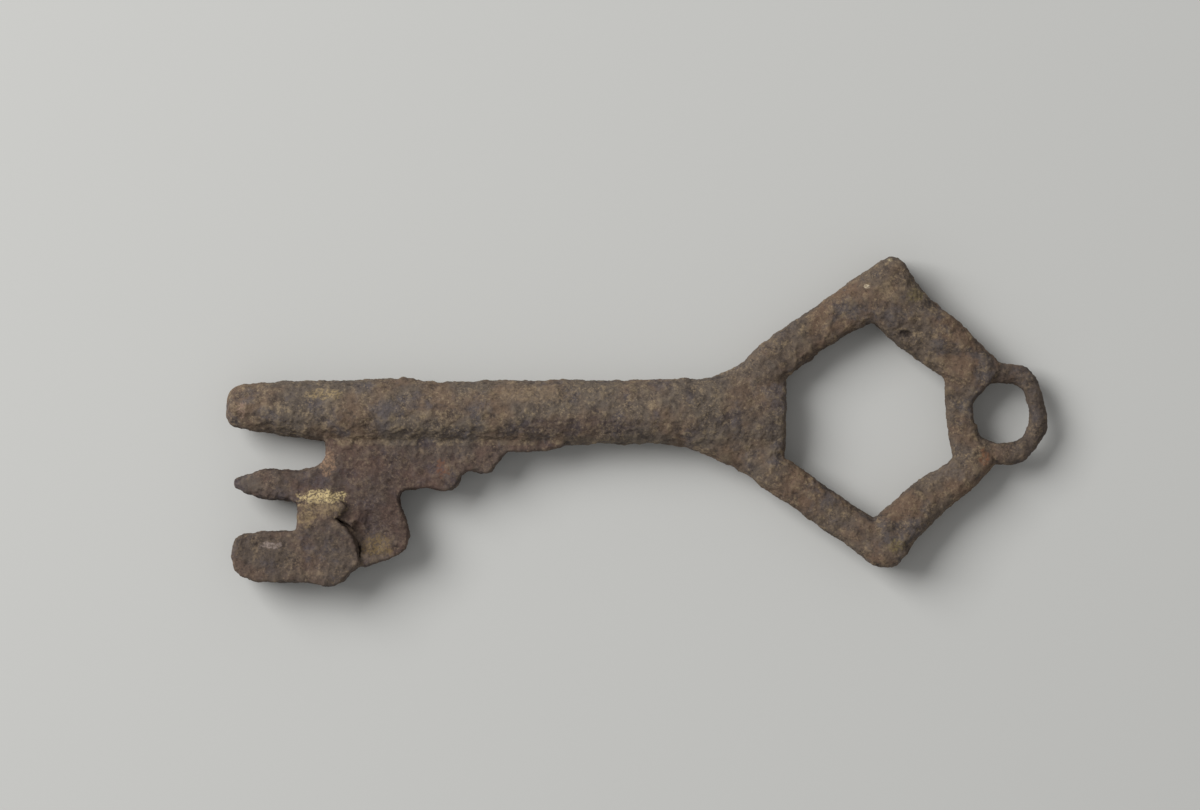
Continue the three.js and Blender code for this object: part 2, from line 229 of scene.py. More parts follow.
def named(name: str) -> bpy.types.Object:
    """Gives the active object and its mesh their name.

    Args:
        name: The new name.

    Returns:
        The object.
    """
    piece = bpy.context.object
    piece.name = name
    piece.data.name = name
    return piece


def turn_flat(angle: float, centre: Vector) -> None:
    """Turns what is selected about an upright line, against the clock for a positive angle."""
    if angle:
        bpy.ops.transform.rotate(value=-angle, orient_axis="Z", center_override=centre)


def face_outwards() -> None:
    """Turns all faces of the mesh under edit outwards."""
    bpy.ops.mesh.select_all(action="SELECT")
    bpy.ops.mesh.normals_make_consistent(inside=False)


def add_section(section: Section) -> None:
    """Adds a flat face of one millimetre across: a circle, or a square with rounded corners.

    Args:
        section: Which of the two.
    """
    bpy.ops.object.select_all(action="DESELECT")
    if section is Section.ROUND:
        bpy.ops.mesh.primitive_circle_add(vertices=RING_CORNERS, radius=MM / 2, fill_type="NGON")
        return
    bpy.ops.mesh.primitive_plane_add(size=MM)
    with editing(bpy.context.object):
        bpy.ops.mesh.select_all(action="SELECT")
        bpy.ops.mesh.bevel(offset=CORNER_SHARE * MM, affect="VERTICES", segments=CORNER_STEPS)


def drawn_bar(name: str, stations: Sequence[Station], section: Section) -> bpy.types.Object:
    """Draws a bar out through its stations, one ring after another.

    Args:
        name: The name of the new piece.
        stations: The cross-sections, from one end of the bar to the other.
        section: The form of every cross-section.

    Returns:
        A closed bar.
    """
    add_section(section)
    bar = named(name)
    first = stations[0]
    origin = Vector((0, 0, 0))
    with editing(bar):
        bpy.ops.mesh.select_all(action="SELECT")
        bpy.ops.transform.rotate(value=math.pi / 2, orient_axis="Y", center_override=origin)
        bpy.ops.transform.resize(value=(1, first.width, first.thickness), center_override=origin)
        turn_flat(first.heading, origin)
        bpy.ops.transform.translate(value=first.centre)
        for before, after in zip(stations, stations[1:]):
            step = after.centre - before.centre
            bpy.ops.mesh.extrude_region_move(TRANSFORM_OT_translate={"value": step})
            turn_flat(-before.heading, after.centre)
            growth = (1, after.width / before.width, after.thickness / before.thickness)
            bpy.ops.transform.resize(value=growth, center_override=after.centre)
            turn_flat(after.heading, after.centre)
        face_outwards()
    return bar


def slab_block(name: str, slab: Slab) -> bpy.types.Object:
    """Lays a face flat, moves its corners to an outline and raises it into a block.

    Args:
        name: The name of the new piece.
        slab: The outline and the two heights.

    Returns:
        A closed block.
    """
    bpy.ops.object.select_all(action="DESELECT")
    bpy.ops.mesh.primitive_circle_add(vertices=len(slab.outline), radius=MM, fill_type="NGON")
    block = named(name)
    with editing(block) as mesh:
        for index, (x, y) in enumerate(slab.outline):
            bpy.ops.mesh.select_all(action="DESELECT")
            mesh.verts.ensure_lookup_table()
            corner = mesh.verts[index]
            corner.select_set(True)
            target = LAYOUT.place(x, y)
            target.z = slab.low * MM
            bpy.ops.transform.translate(value=target - corner.co)
        bpy.ops.mesh.select_all(action="SELECT")
        rise = (0, 0, (slab.high - slab.low) * MM)
        bpy.ops.mesh.extrude_region_move(TRANSFORM_OT_translate={"value": rise})
        face_outwards()
    return block


def egg_body(egg: Egg) -> bpy.types.Object:
    """Adds a ball, stretches and turns it, and moves it to its place.

    Args:
        egg: The name, the place and the sizes.

    Returns:
        A closed egg.
    """
    bpy.ops.object.select_all(action="DESELECT")
    bpy.ops.mesh.primitive_ico_sphere_add(subdivisions=EGG_STEPS, radius=MM)
    body = named(egg.name)
    origin = Vector((0, 0, 0))
    with editing(body):
        bpy.ops.mesh.select_all(action="SELECT")
        bpy.ops.transform.resize(value=egg.radii, center_override=origin)
        turn_flat(math.radians(egg.turn), origin)
        bpy.ops.transform.translate(value=LAYOUT.place(*egg.centre))
    return body


class Forging:
    """A stretch of the key that the smith made by itself, and how its pieces are dressed."""

    pieces: Sequence[PieceOfIron]

    def dress(self, piece: bpy.types.Object, part: PieceOfIron,
              materials: dict[str, bpy.types.Material]) -> None:
        """Gives a piece its iron and its place in the frame, and reports it.

        Args:
            piece: The closed body.
            part: What it stands for.
            materials: The iron of each slot.
        """
        piece.data.materials.clear()
        piece.data.materials.append(materials[part.slot])
        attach(piece, "root")
        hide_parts(part.node)
        log.info("%s: %d faces", piece.name, len(piece.data.polygons))


@dataclass(frozen=True)
class Shank(Forging):
    """The round bar, its blunt tip and the web that it spreads into."""

    # Along the bar: distance from the tip, upper edge, lower edge, thickness, middle's height
    profile: Sequence[tuple[float, float, float, float, float]] = (
        (-0.1, 2.2, -0.9, 3.4, 5.3), (0.4, 3.4, -1.8, 5.6, 5.3), (1.3, 4.3, -2.4, 7.0, 5.3),
        (3.0, 5.0, -2.7, 8.0, 5.3), (5.5, 5.05, -3.35, 8.6, 5.25), (8.5, 5.05, -3.8, 9.0, 5.2),
        (13.0, 5.15, -4.4, 9.6, 5.15), (18.0, 5.35, -5.1, 10.3, 5.15),
        (27.0, 5.5, -5.3, 10.6, 5.15), (36.0, 5.2, -5.4, 10.5, 5.15),
        (50.0, 5.4, -5.4, 10.6, 5.15), (64.7, 5.4, -5.45, 10.6, 5.15),
        (73.0, 5.35, -5.45, 10.5, 5.15), (78.0, 5.5, -5.9, 10.2, 5.05),
        (81.0, 5.5, -7.1, 9.8, 4.9), (84.0, 6.2, -8.5, 9.2, 4.7), (87.0, 7.9, -9.8, 8.7, 4.5),
        (90.0, 9.3, -10.9, 8.2, 4.3), (93.0, 9.0, -10.4, 7.9, 4.2), (94.6, 7.8, -8.9, 7.4, 4.2),
        (95.3, 6.8, -7.8, 6.4, 4.2),
    )
    lumps: Sequence[Egg] = (
        Egg("shank_lump", (30.6, 4.6, 6.0), (1.8, 1.2, 1.6)),
        Egg("web_lump", (78.2, 4.7, 5.6), (1.6, 1.2, 1.5)),
    )
    pieces: Sequence[PieceOfIron] = (PieceOfIron("shank", "shank_iron"),)

    def blanks(self) -> list[bpy.types.Object]:
        """Draws the bar and the lumps that stand on it.

        Returns:
            Closed bodies.
        """
        stations = [
            Station((x, upper), (x, lower), thickness, height)
            for x, upper, lower, thickness, height in self.profile
        ]
        bar = drawn_bar("shank_blank", stations, Section.ROUND)
        return [bar, *(egg_body(lump) for lump in self.lumps)]


@dataclass(frozen=True)
class Bow(Forging):
    """The four bars round the bow opening and the short bar at its back."""

    upper_arm: Sequence[Station] = (
        Station((86.5, 7.0), (90.6, 1.2), 7.0), Station((90.6, 10.9), (94.5, 5.2), 7.2),
        Station((94.0, 13.4), (97.8, 7.6), 6.9), Station((98.0, 16.1), (101.3, 10.5), 6.4),
        Station((101.5, 18.5), (104.7, 12.8), 6.3), Station((105.2, 21.2), (108.2, 14.4), 6.8),
        Station((108.6, 23.7), (111.6, 16.0), 7.8), Station((111.2, 25.5), (115.3, 18.6), 8.6),
        Station((113.0, 26.5), (117.0, 21.0), 8.6), Station((114.6, 26.4), (117.4, 22.6), 7.4),
    )
    upper_side: Sequence[Station] = (
        Station((112.6, 24.2), (107.5, 17.6), 7.5), Station((114.8, 24.2), (109.2, 16.3), 8.4),
        Station((117.2, 22.4), (111.4, 14.4), 8.8), Station((119.9, 19.4), (114.0, 12.2), 8.2),
        Station((122.8, 16.9), (116.9, 9.8), 7.2), Station((125.6, 14.8), (119.6, 8.0), 6.7),
        Station((128.2, 12.1), (122.3, 6.1), 6.4), Station((130.6, 9.8), (124.6, 3.4), 6.0),
        Station((132.4, 7.9), (127.0, 1.2), 5.6),
    )
    back_bar: Sequence[Station] = (
        Station((128.5, 4.6), (122.9, 5.4), 5.0), Station((127.8, 2.0), (122.9, 1.8), 4.8),
        Station((127.5, -0.4), (123.1, -1.0), 4.7), Station((127.9, -2.6), (123.5, -3.8), 4.8),
        Station((128.9, -4.6), (124.0, -6.8), 5.0), Station((129.4, -6.4), (124.4, -8.6), 5.0),
    )
    lower_side: Sequence[Station] = (
        Station((108.9, -20.4), (113.4, -25.6), 7.6), Station((111.2, -18.0), (116.2, -23.8), 8.6),
        Station((114.6, -14.8), (119.2, -20.1), 8.0), Station((117.0, -12.7), (121.3, -18.2), 7.2),
        Station((119.3, -11.1), (123.4, -16.3), 6.7), Station((122.1, -9.6), (126.0, -14.0), 6.4),
        Station((124.6, -7.6), (128.2, -12.2), 6.2), Station((126.6, -5.2), (130.3, -10.0), 5.8),
        Station((127.8, -4.4), (131.2, -8.9), 5.4),
    )
    lower_arm: Sequence[Station] = (
        Station((90.2, -2.4), (86.4, -8.2), 7.0), Station((94.1, -7.1), (90.8, -12.2), 7.0),
        Station((98.2, -10.1), (95.0, -15.1), 6.7), Station((101.5, -12.3), (98.2, -17.2), 6.3),
        Station((104.9, -14.6), (101.8, -19.9), 6.3), Station((107.5, -16.5), (104.6, -21.7), 6.8),
        Station((110.2, -18.2), (107.4, -23.9), 7.8), Station((113.5, -19.6), (110.0, -25.8), 8.6),
        Station((116.0, -22.2), (112.4, -26.6), 8.6), Station((116.6, -23.4), (114.2, -26.3), 7.4),
    )
    pit: Egg = Egg("side_pit", (115.9, 13.3, 8.3), (1.1, 0.6, 1.0), -15)
    pieces: Sequence[PieceOfIron] = (
        PieceOfIron("bow_upper_arm", "bow_iron", (
            Slab(((88.0, 13.0), (95.6, 6.3), (99.0, 5.5), (110.4, 14.9), (109.3, 32.0),
                  (88.0, 32.0))),
            Slab(((110.0, 15.0), (110.4, 14.9), (119.6, 21.3), (121.0, 32.0), (109.0, 32.0)),
                 BOW_HEIGHT),
            Slab(((88.0, 13.2), (95.7, 6.5), (94.4, 3.0), (86.5, 6.0)), -FAR, BOW_HEIGHT),
        )),
        PieceOfIron("bow_lower_arm", "bow_iron", (
            Slab(((95.6, -7.5), (88.0, -13.5), (88.0, -34.0), (109.0, -34.0), (110.2, -17.7),
                  (99.5, -8.0))),
            Slab(((110.0, -17.6), (108.8, -34.0), (119.8, -34.0), (118.9, -23.9)), BOW_HEIGHT),
            Slab(((88.0, -13.7), (95.7, -7.7), (94.4, -4.0), (86.5, -7.0)), -FAR, BOW_HEIGHT),
        )),
        PieceOfIron("bow_back_bar", "bow_iron", (
            Slab(((121.0, 5.2), (122.6, 5.4), (128.8, 2.6), (130.5, 0.0), (128.8, -3.3),
                  (123.9, -7.2), (121.0, -7.2))),
            Slab(((122.4, 5.2), (128.9, 2.4), (130.0, 4.8), (124.4, 8.0)), -FAR, BOW_HEIGHT),
            Slab(((123.7, -7.0), (128.9, -3.1), (130.6, -5.0), (125.6, -9.4)), -FAR, BOW_HEIGHT),
        )),
        PieceOfIron("bow_upper_side", "bow_iron", (
            Slab(((109.0, 14.0), (109.0, 32.0), (134.0, 32.0), (134.0, 0.2), (121.0, 0.2))),
        )),
        PieceOfIron("bow_lower_side", "bow_iron", (
            Slab(((108.5, -16.0), (108.5, -34.0), (134.0, -34.0), (134.0, -0.2), (121.0, -0.2))),
        )),
    )

    def blanks(self) -> list[bpy.types.Object]:
        """Draws the five bars.

        Returns:
            Closed bodies.
        """
        bars = {
            "upper_arm_blank": self.upper_arm,
            "upper_side_blank": self.upper_side,
            "back_bar_blank": self.back_bar,
            "lower_side_blank": self.lower_side,
            "lower_arm_blank": self.lower_arm,
        }
        return [drawn_bar(name, stations, Section.SQUARE) for name, stations in bars.items()]

    def cutters(self) -> list[bpy.types.Object]:
        """Makes the deep pit in the upper side."""
        return [egg_body(self.pit)]


@dataclass(frozen=True)
class HangingLoop(Forging):
    """The thin bar bent round behind the bow, with a lump at its lower foot."""

    bar: Sequence[Station] = (
        Station((128.6, 7.9), (128.8, 4.3), 5.0), Station((131.0, 8.5), (130.6, 5.0), 4.8),
        Station((132.9, 8.3), (132.2, 4.9), 4.2), Station((135.0, 8.2), (134.2, 4.9), 3.5),
        Station((137.1, 7.6), (135.2, 4.4), 3.2), Station((138.3, 6.1), (135.9, 3.5), 3.2),
        Station((138.9, 3.9), (136.6, 2.1), 3.1), Station((139.7, 1.6), (136.9, 0.8), 3.1),
        Station((140.1, -1.0), (137.2, -1.0), 3.2), Station((139.9, -3.5), (136.9, -2.8), 3.2),
        Station((139.0, -5.4), (136.4, -3.9), 3.3), Station((137.4, -7.1), (135.4, -4.9), 3.4),
        Station((135.5, -8.5), (134.0, -5.1), 3.9), Station((133.4, -9.1), (132.6, -5.4), 4.2),
        Station((131.2, -8.8), (131.2, -5.3), 4.4), Station((129.0, -8.6), (129.4, -4.5), 4.6),
    )
    foot_lump: Egg = Egg("loop_foot_lump", (135.6, -7.2, 4.3), (1.7, 1.3, 1.9), 25)
    socket_low: float = 2.7
    socket_high: float = 5.7
    hole: Sequence[Point] = (
        (127.3, -0.2), (127.5, 1.4), (128.6, 3.0), (130.1, 4.2), (132.1, 4.95), (134.0, 4.9),
        (135.4, 4.1), (136.6, 2.6), (137.0, 0.5), (137.2, -1.0), (136.7, -3.3), (135.9, -4.7),
        (134.3, -5.05), (132.6, -5.45), (131.3, -5.4), (130.1, -4.6), (128.7, -3.0),
        (127.3, -1.9),
    )
    pieces: Sequence[PieceOfIron] = (
        PieceOfIron("hanging_loop", "loop_iron", (
            Slab(((132.6, 14.0), (146.0, 14.0), (146.0, -14.0), (131.3, -14.0), (131.3, -4.8),
                  (132.0, 0.0), (131.9, 4.4))),
            Slab(((132.8, 8.0), (132.2, 4.6), (128.8, 4.9), (128.9, 7.9)),
                 socket_low, socket_high),
            Slab(((131.5, -8.4), (131.5, -5.3), (129.2, -4.9), (129.0, -8.1)),
                 socket_low, socket_high),
        )),
    )

    def blanks(self) -> list[bpy.types.Object]:
        """Draws the bent bar and the lump on it."""
        return [drawn_bar("loop_blank", self.bar, Section.ROUND), egg_body(self.foot_lump)]

    def cutters(self) -> list[bpy.types.Object]:
        """Makes the block that opens the round hole through the ends of the sides."""
        return [slab_block("loop_hole", Slab(self.hole))]


@dataclass(frozen=True)
class Bit(Forging):
    """The plate with its middle prong and lobe, and the thick foot lapped over it."""

    plate_low: float = 2.65
    plate_high: float = 7.65
    foot_high: float = 9.15
    foot_bevel: float = 0.9
    foot_bevel_steps: int = 3
    lump_high: float = 8.8
    seam_low: float = 6.0
    plate: Sequence[Point] = (
        (16.8, 0.0), (16.8, -6.3), (16.9, -7.4), (16.4, -8.6), (15.6, -9.3), (13.5, -10.0),
        (11.5, -10.3), (11.5, -15.2), (12.0, -15.7), (12.2, -18.3), (12.2, -28.0), (18.5, -28.6),
        (22.6, -26.4), (25.2, -25.9), (28.1, -25.0), (30.4, -23.6), (31.1, -21.1), (30.5, -18.7),
        (29.6, -16.5), (29.2, -14.5), (30.0, -13.4), (31.5, -13.1), (34.4, -13.0), (36.9, -13.4),
        (38.3, -13.2), (39.2, -12.3), (39.6, -11.1), (40.9, -10.1), (42.3, -9.9), (43.1, -10.4),
        (45.2, -10.3), (45.9, -9.0), (46.9, -7.8), (47.9, -6.8), (51.5, -6.7), (54.3, -6.4),
        (56.9, -5.9), (58.5, -4.5), (58.5, 0.0),
    )
    middle_prong: Sequence[Station] = (
        Station((14.0, -15.0), (14.0, -10.2), 5.0, SHANK_HEIGHT),
        Station((10.6, -15.3), (10.6, -10.1), 5.0, SHANK_HEIGHT),
        Station((7.1, -15.0), (7.1, -9.7), 5.0, SHANK_HEIGHT),
        Station((5.2, -14.5), (5.2, -10.2), 4.6, SHANK_HEIGHT),
        Station((3.4, -13.9), (3.4, -10.7), 3.6, SHANK_HEIGHT),
        Station((1.9, -13.2), (1.9, -11.0), 2.8, SHANK_HEIGHT),
        Station((1.1, -12.8), (1.1, -11.4), 2.0, SHANK_HEIGHT),
    )
    foot: Sequence[Point] = (
        (12.4, -19.6), (15.0, -18.4), (18.1, -17.9), (20.6, -19.5), (21.9, -21.2), (22.5, -24.0),
        (22.7, -26.0), (20.9, -27.3), (20.2, -28.5), (18.6, -29.6), (17.6, -29.7), (13.5, -29.0),
        (7.5, -28.9), (4.8, -28.7), (2.7, -28.0), (1.4, -26.6), (1.0, -24.5), (1.2, -22.2),
        (1.5, -21.6), (2.5, -20.95), (4.5, -20.7), (7.4, -20.4), (11.8, -20.4),
    )
    lump: Sequence[Point] = (
        (12.1, -15.5), (16.0, -14.9), (19.5, -15.0), (20.4, -16.2), (19.6, -17.6), (17.8, -18.4),
        (15.0, -19.6), (12.3, -19.8),
    )
    seam: Sequence[Point] = (
        (17.2, -17.6), (18.9, -17.9), (21.0, -19.3), (22.3, -21.0), (23.0, -23.2), (22.9, -25.2),
        (22.6, -25.2), (22.3, -23.6), (21.6, -21.5), (20.4, -19.8), (18.6, -18.4),
    )
    hollows: Sequence[Egg] = (
        Egg("lobe_hollow", (25.2, -20.2, 8.9), (3.4, 4.4, 2.4), 20),
        Egg("seam_hollow", (23.0, -21.4, 8.3), (1.5, 3.2, 2.4), 20),
    )
    pieces: Sequence[PieceOfIron] = (
        PieceOfIron("bit_foot", "foot_iron", (
            Slab(((-3.0, -20.0), (12.2, -20.0), (12.2, -34.0), (-3.0, -34.0))),
            Slab(((11.0, -19.5), (12.1, -15.2), (14.0, -14.8), (19.6, -14.6), (20.7, -15.6),
                  (20.3, -17.0), (19.9, -17.9), (21.8, -19.4), (22.9, -21.1), (23.3, -24.0),
                  (23.5, -34.0), (11.0, -34.0)), SHANK_HEIGHT),
        )),
        PieceOfIron("bit_plate", "bit_iron", (
            Slab(((-3.0, -8.0), (15.0, -8.0), (15.5, -5.7), (58.8, -5.7), (58.8, -34.0),
                  (-3.0, -34.0))),
            Slab(((16.8, 0.6), (57.6, 0.6), (57.6, -6.0), (16.8, -6.0)), plate_low, plate_high),
        )),
    )

    def blanks(self) -> list[bpy.types.Object]:
        """Makes the plate, the middle prong, the foot and the lump by the clefts.

        Returns:
            Closed bodies.
        """
        foot = slab_block("foot_blank", Slab(self.foot, self.plate_low, self.foot_high))
        with editing(foot):
            bpy.ops.mesh.select_all(action="SELECT")
            bpy.ops.mesh.bevel(
                offset=self.foot_bevel * MM, segments=self.foot_bevel_steps, affect="EDGES",
                clamp_overlap=True,
            )
        return [
            slab_block("plate_blank", Slab(self.plate, self.plate_low, self.plate_high)),
            drawn_bar("prong_blank", self.middle_prong, Section.SQUARE),
            foot,
            slab_block("lump_blank", Slab(self.lump, self.plate_low, self.lump_high)),
        ]

    def cutters(self) -> list[bpy.types.Object]:
        """Makes the open seam beside the foot and the hollows worn beside it."""
        seam = slab_block("open_seam", Slab(self.seam, self.seam_low, FAR))
        return [seam, *(egg_body(hollow) for hollow in self.hollows)]


@dataclass(frozen=True)
class Pattern:
    """A rough pattern that moves the skin in and out.

    Its size is the length of its features and its depth the whole movement. The skin stays
    where the pattern's value is mid, and detail is set where the kind has it.
    """

    name: str
    kind: str
    size: float
    depth: float
    mid: float = 0.5
    detail: int | None = None


SWELL = Pattern("swell", "CLOUDS", 4.2, 0.7, detail=1)
CORROSION = (
    Pattern("blisters", "CLOUDS", 1.9, 0.42, detail=2),
    Pattern("pits", "VORONOI", 1.4, 0.28, mid=0.35),
    Pattern("grain", "CLOUDS", 0.5, 0.24, detail=1),
)


class Skin:
    """The welded body of the key: all the blanks as one closed skin, worn and roughened."""

    weld_voxel: float = 0.3
    fine_voxel: float = 0.2
    weld_rounds: int = 8
    wear_rounds: int = 3
    smoothing: float = 0.5
    ground: Slab = Slab(((-9, -50), (150, -50), (150, 50), (-9, 50)), -FAR, GROUND)

    def __init__(self, blanks: Sequence[bpy.types.Object]) -> None:
        """Joins the blanks under one object.

        Args:
            blanks: Closed bodies that overlap where they are welded.
        """
        select_only(*blanks)
        bpy.ops.object.join()
        self.body = named("skin")

    def remesh(self, voxel: float) -> None:
        """Melts the body into one even skin."""
        apply_modifier(self.body, "REMESH", mode="VOXEL", voxel_size=voxel * MM)

    def soften(self, rounds: int) -> None:
        """Wears all edges and fills the inner corners."""
        apply_modifier(self.body, "SMOOTH", factor=self.smoothing, iterations=rounds)

    def open_up(self, cutters: Sequence[bpy.types.Object]) -> None:
        """Takes away what lies in each cutter.

        Args:
            cutters: Closed bodies, which are then deleted.
        """
        for cutter in cutters:
            cut(self.body, cutter, Cut.TAKE_AWAY)
            remove(cutter)

    def weld(self, holes: Sequence[bpy.types.Object]) -> None:
        """Melts the blanks together, opens the holes and rounds all edges.

        Args:
            holes: Cutters for the holes.
        """
        self.remesh(self.weld_voxel)
        self.open_up(holes)
        self.soften(self.weld_rounds)

    def wear(self, cutters: Sequence[bpy.types.Object]) -> None:
        """Opens the cracks and hollows, and makes the skin fine enough to roughen.

        Args:
            cutters: Cutters for the cracks and hollows.
        """
        self.open_up(cutters)
        self.remesh(self.fine_voxel)
        self.soften(self.wear_rounds)

    def roughen(self, pattern: Pattern) -> None:
        """Moves the skin in and out by a rough pattern.

        Args:
            pattern: The pattern.
        """
        texture = bpy.data.textures.new(pattern.name, pattern.kind)
        texture.noise_scale = pattern.size * MM
        if pattern.detail is not None:
            texture.noise_depth = pattern.detail
        apply_modifier(
            self.body, "DISPLACE", texture=texture, texture_coords="LOCAL",
            strength=pattern.depth * MM, mid_level=pattern.mid,
        )

    def read(self, what: str) -> np.ndarray:
        """Reads the places or the normals of the corners.

        Args:
            what: "co" for places, "normal" for normals.

        Returns:
            One row of three numbers for each corner.
        """
        corners = self.body.data.vertices
        flat = np.empty(len(corners) * 3, np.float32)
        corners.foreach_get(what, flat)
        return flat.reshape(-1, 3)

    def corrode(self) -> None:
        """Roughens the skin at four sizes, and keeps how far each corner rose or sank."""
        self.roughen(SWELL)
        smooth_place = self.read("co")
        facing = self.read("normal")
        for pattern in CORROSION:
            self.roughen(pattern)
        risen = ((self.read("co") - smooth_place) * facing).sum(axis=1) / MM
        relief = self.body.data.attributes.new("relief", "FLOAT", "POINT")
        relief.data.foreach_set("value", risen.astype(np.float32))

    def lay_down(self) -> None:
        """Flattens the underside where it would reach below the ground."""
        self.open_up([slab_block("ground", self.ground)])


class Parting:
    """Cuts the welded skin into the smith's pieces, along their laps."""

    crease: float = math.radians(55)

    def __init__(self, skin: Skin) -> None:
        """Keeps the skin and a way to find its relief at any place.

        Args:
            skin: The welded and corroded skin.
        """
        self.rest = skin.body
        mesh = self.rest.data
        self.relief = np.empty(len(mesh.vertices), np.float32)
        mesh.attributes["relief"].data.foreach_get("value", self.relief)
        self.finder = kdtree.KDTree(len(mesh.vertices))
        for index, corner in enumerate(mesh.vertices):
            self.finder.insert(corner.co, index)
        self.finder.balance()

    def region(self, slabs: Sequence[Slab]) -> bpy.types.Object:
        """Makes one closed block of several slabs.

        Args:
            slabs: The slabs, which overlap.

        Returns:
            A closed block.
        """
        whole = slab_block("region", slabs[0])
        for slab in slabs[1:]:
            more = slab_block("region_part", slab)
            cut(whole, more, Cut.JOIN)
            remove(more)
        return whole

    def take(self, part: PieceOfIron) -> bpy.types.Object:
        """Takes what lies in a piece's slabs, or all that is left where it has none.

        Args:
            part: The piece to take.

        Returns:
            The piece, a closed body.
        """
        name = f"{part.node}_iron"
        if not part.slabs:
            select_only(self.rest)
            return self.finished(named(name))
        region = self.region(part.slabs)
        select_only(self.rest)
        bpy.ops.object.duplicate()
        piece = named(name)
        cut(piece, region, Cut.KEEP_INSIDE)
        cut(self.rest, region, Cut.TAKE_AWAY)
        remove(region)
        return self.finished(piece)

    def finished(self, piece: bpy.types.Object) -> bpy.types.Object:
        """Fills in the relief of the corners that the cuts made, and smooths the shading.

        Args:
            piece: A piece as it was cut.

        Returns:
            The same piece.
        """
        mesh = piece.data
        values = np.empty(len(mesh.vertices), np.float32)
        mesh.attributes["relief"].data.foreach_get("value", values)
        for index in np.flatnonzero(values == 0.0):
            _, nearest, _ = self.finder.find(mesh.vertices[int(index)].co)
            values[index] = self.relief[nearest]
        mesh.attributes["relief"].data.foreach_set("value", values)
        select_only(piece)
        bpy.ops.object.shade_smooth_by_angle(angle=self.crease)
        return piece


def linear(value: int) -> float:
    """Turns one channel as a screen shows it, 0 to 255, into linear light."""
    share = value / 255
    return share / 12.92 if share <= 0.04045 else ((share + 0.055) / 1.055) ** 2.4


def srgb(red: int, green: int, blue: int) -> Colour:
    """Turns a colour as a screen shows it into linear light."""
    return linear(red), linear(green), linear(blue)


@dataclass(frozen=True)
class IronFinish:
    """The colours and the roughness of one stretch of corroded iron."""

    slot: str
    body: Colour
    warm: Colour
    dark: Colour
    pale: Colour
    cool: Colour
    hollow_roughness: float = 0.94
    crown_roughness: float = 0.78
    hollow_relief: float = -0.2
    crown_relief: float = 0.25
    specular: float = 0.35
    grain_strength: float = 0.8
    grain_depth: float = 0.2


FINISHES = (
    IronFinish("shank_iron", srgb(93, 83, 74), srgb(104, 86, 71), srgb(56, 48, 46),
               srgb(146, 128, 102), srgb(84, 78, 80)),
    IronFinish("bow_iron", srgb(91, 79, 69), srgb(102, 82, 67), srgb(54, 46, 42),
               srgb(142, 123, 96), srgb(80, 74, 74)),
    IronFinish("loop_iron", srgb(83, 72, 64), srgb(95, 77, 65), srgb(50, 43, 40),
               srgb(128, 110, 88), srgb(76, 70, 70)),
    IronFinish("bit_iron", srgb(83, 72, 65), srgb(92, 73, 64), srgb(50, 42, 40),
               srgb(130, 112, 92), srgb(78, 70, 73)),
    IronFinish("foot_iron", srgb(83, 72, 64), srgb(92, 75, 65), srgb(51, 43, 40),
               srgb(130, 112, 91), srgb(77, 71, 74)),
)


@dataclass(frozen=True)
class Noise:
    """A noise: the length of its features, its detail and how rough the detail is."""

    size: float
    detail: float
    rough: float


@dataclass(frozen=True)
class Spread:
    """How a value becomes a share: where it starts, where it is full, and both its ends."""

    start: float
    full: float
    least: float = 0.0
    most: float = 1.0


@dataclass(frozen=True)
class Layer:
    """One layer of mottling: its colour, its noise and its spread, laid evenly or in drifts."""

    colour: str
    noise: Noise
    spread: Spread
    in_drifts: bool = False


MOTTLE = (
    Layer("Warm", Noise(9.0, 3, 0.55), Spread(0.42, 0.62)),
    Layer("Cool", Noise(5.0, 4, 0.65), Spread(0.5, 0.66, most=0.8)),
    Layer("Dark", Noise(2.6, 4, 0.7), Spread(0.5, 0.66, most=0.7)),
    Layer("Pale", Noise(1.5, 4, 0.75), Spread(0.53, 0.68, most=0.6)),
    Layer("Pale", Noise(0.42, 3, 0.75), Spread(0.5, 0.66, most=0.75), in_drifts=True),
    Layer("Dark", Noise(0.34, 3, 0.75), Spread(0.48, 0.35, most=0.6)),
)
DRIFTS = Noise(3.2, 3, 0.6)
DRIFT_SPREAD = Spread(0.4, 0.62, 0.15, 1.0)
HOLLOW_STAIN = Spread(-0.02, -0.26, most=0.65)
CROWN_WEAR = Spread(0.05, 0.3, most=0.4)

PATCH_EDGE = Noise(1.1, 4, 0.75)
PATCH_COVER = Spread(1.15, 0.7)
PATCH_WEAR = Noise(0.45, 3, 0.75)
PATCH_WEAR_SPREAD = Spread(0.42, 0.58, 0.15, 1.0)
NOISE_MIDDLE = 0.5

COARSE_GRAIN = Noise(0.5, 3, 0.7)
FINE_GRAIN = Noise(0.2, 2, 0.7)
COARSE_SHARE = 0.6
FINE_SHARE = 0.4


